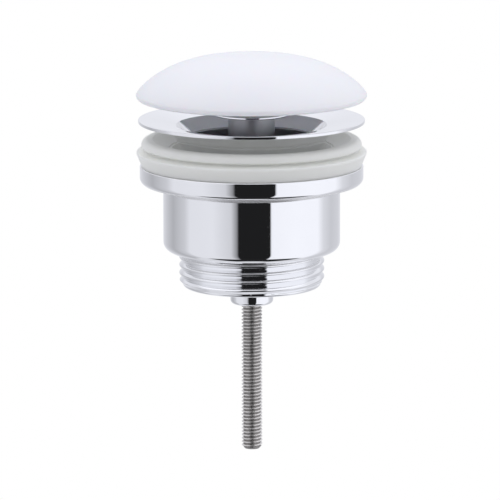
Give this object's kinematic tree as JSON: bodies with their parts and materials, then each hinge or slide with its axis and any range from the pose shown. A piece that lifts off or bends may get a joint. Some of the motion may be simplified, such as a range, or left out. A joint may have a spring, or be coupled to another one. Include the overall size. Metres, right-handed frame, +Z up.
{
  "type": "free-flow basin waste",
  "caption": "Unslotted free-flow basin waste: domed ceramic cap on a pillar, chrome dish, two silicone seals, and a flanged body with threaded outlet drawn up by a long rod.",
  "frame": {"origin": "on the throat's axis, in the plane of the flat land under the dish's rim", "axes": "+Z up along the throat and the rod, towards the cap; +Y along one rib of each spider"},
  "size_m": [0.0664, 0.0664, 0.1154],
  "materials": {
    "ceramic": "glossy white glaze",
    "brass": "turned",
    "resin": "hardened resin",
    "cushion": "soft matt",
    "chrome": "polished chrome plate on brass",
    "steel": "rolled stainless steel",
    "nylon": "natural nylon",
    "silicone": "translucent moulded silicone"
  },
  "bodies": {
    "dish": {"dish": "chrome"},
    "spindle": {"threaded_rod": "steel", "pillar": "chrome", "cap_plate": "chrome", "jam_nut": "steel", "slip_washer": "nylon", "hub_washer": "steel", "lock_nut": "steel", "lock_insert": "nylon"},
    "cushion": {"cap_cushion": "cushion"},
    "cap": {"ceramic_cap": "ceramic", "cap_bush": "brass", "cap_bond": "resin"},
    "body": {"lower_body": "chrome", "clamp_bush": "chrome", "lower_seal": "silicone", "upper_seal": "silicone"}
  },
  "joints": [
    {"name": "clamp_turn", "type": "hinge", "parent": "dish", "child": "spindle", "pos_m": [0, 0, 0], "axis": [0, 0, 1], "range_deg": [-1404.5, 15408.5]},
    {"name": "body_rise", "type": "slide", "parent": "dish", "child": "body", "axis": [0, 0, 1], "range_m": [-0.0428, 0.0039]},
    {"name": "cap_turn", "type": "hinge", "parent": "spindle", "child": "cushion", "pos_m": [0, 0, 0], "axis": [0, 0, 1], "range_deg": [-0.5, 2520.5]},
    {"name": "cap_rise", "type": "slide", "parent": "cushion", "child": "cap", "axis": [0, 0, 1], "range_m": [0, 0.007]}
  ],
  "couplings": [
    {"joint": "clamp_turn", "follows": "body_rise", "rad_per_m": -6283.2},
    {"joint": "cap_turn", "follows": "cap_rise", "rad_per_m": 6283.2}
  ]
}
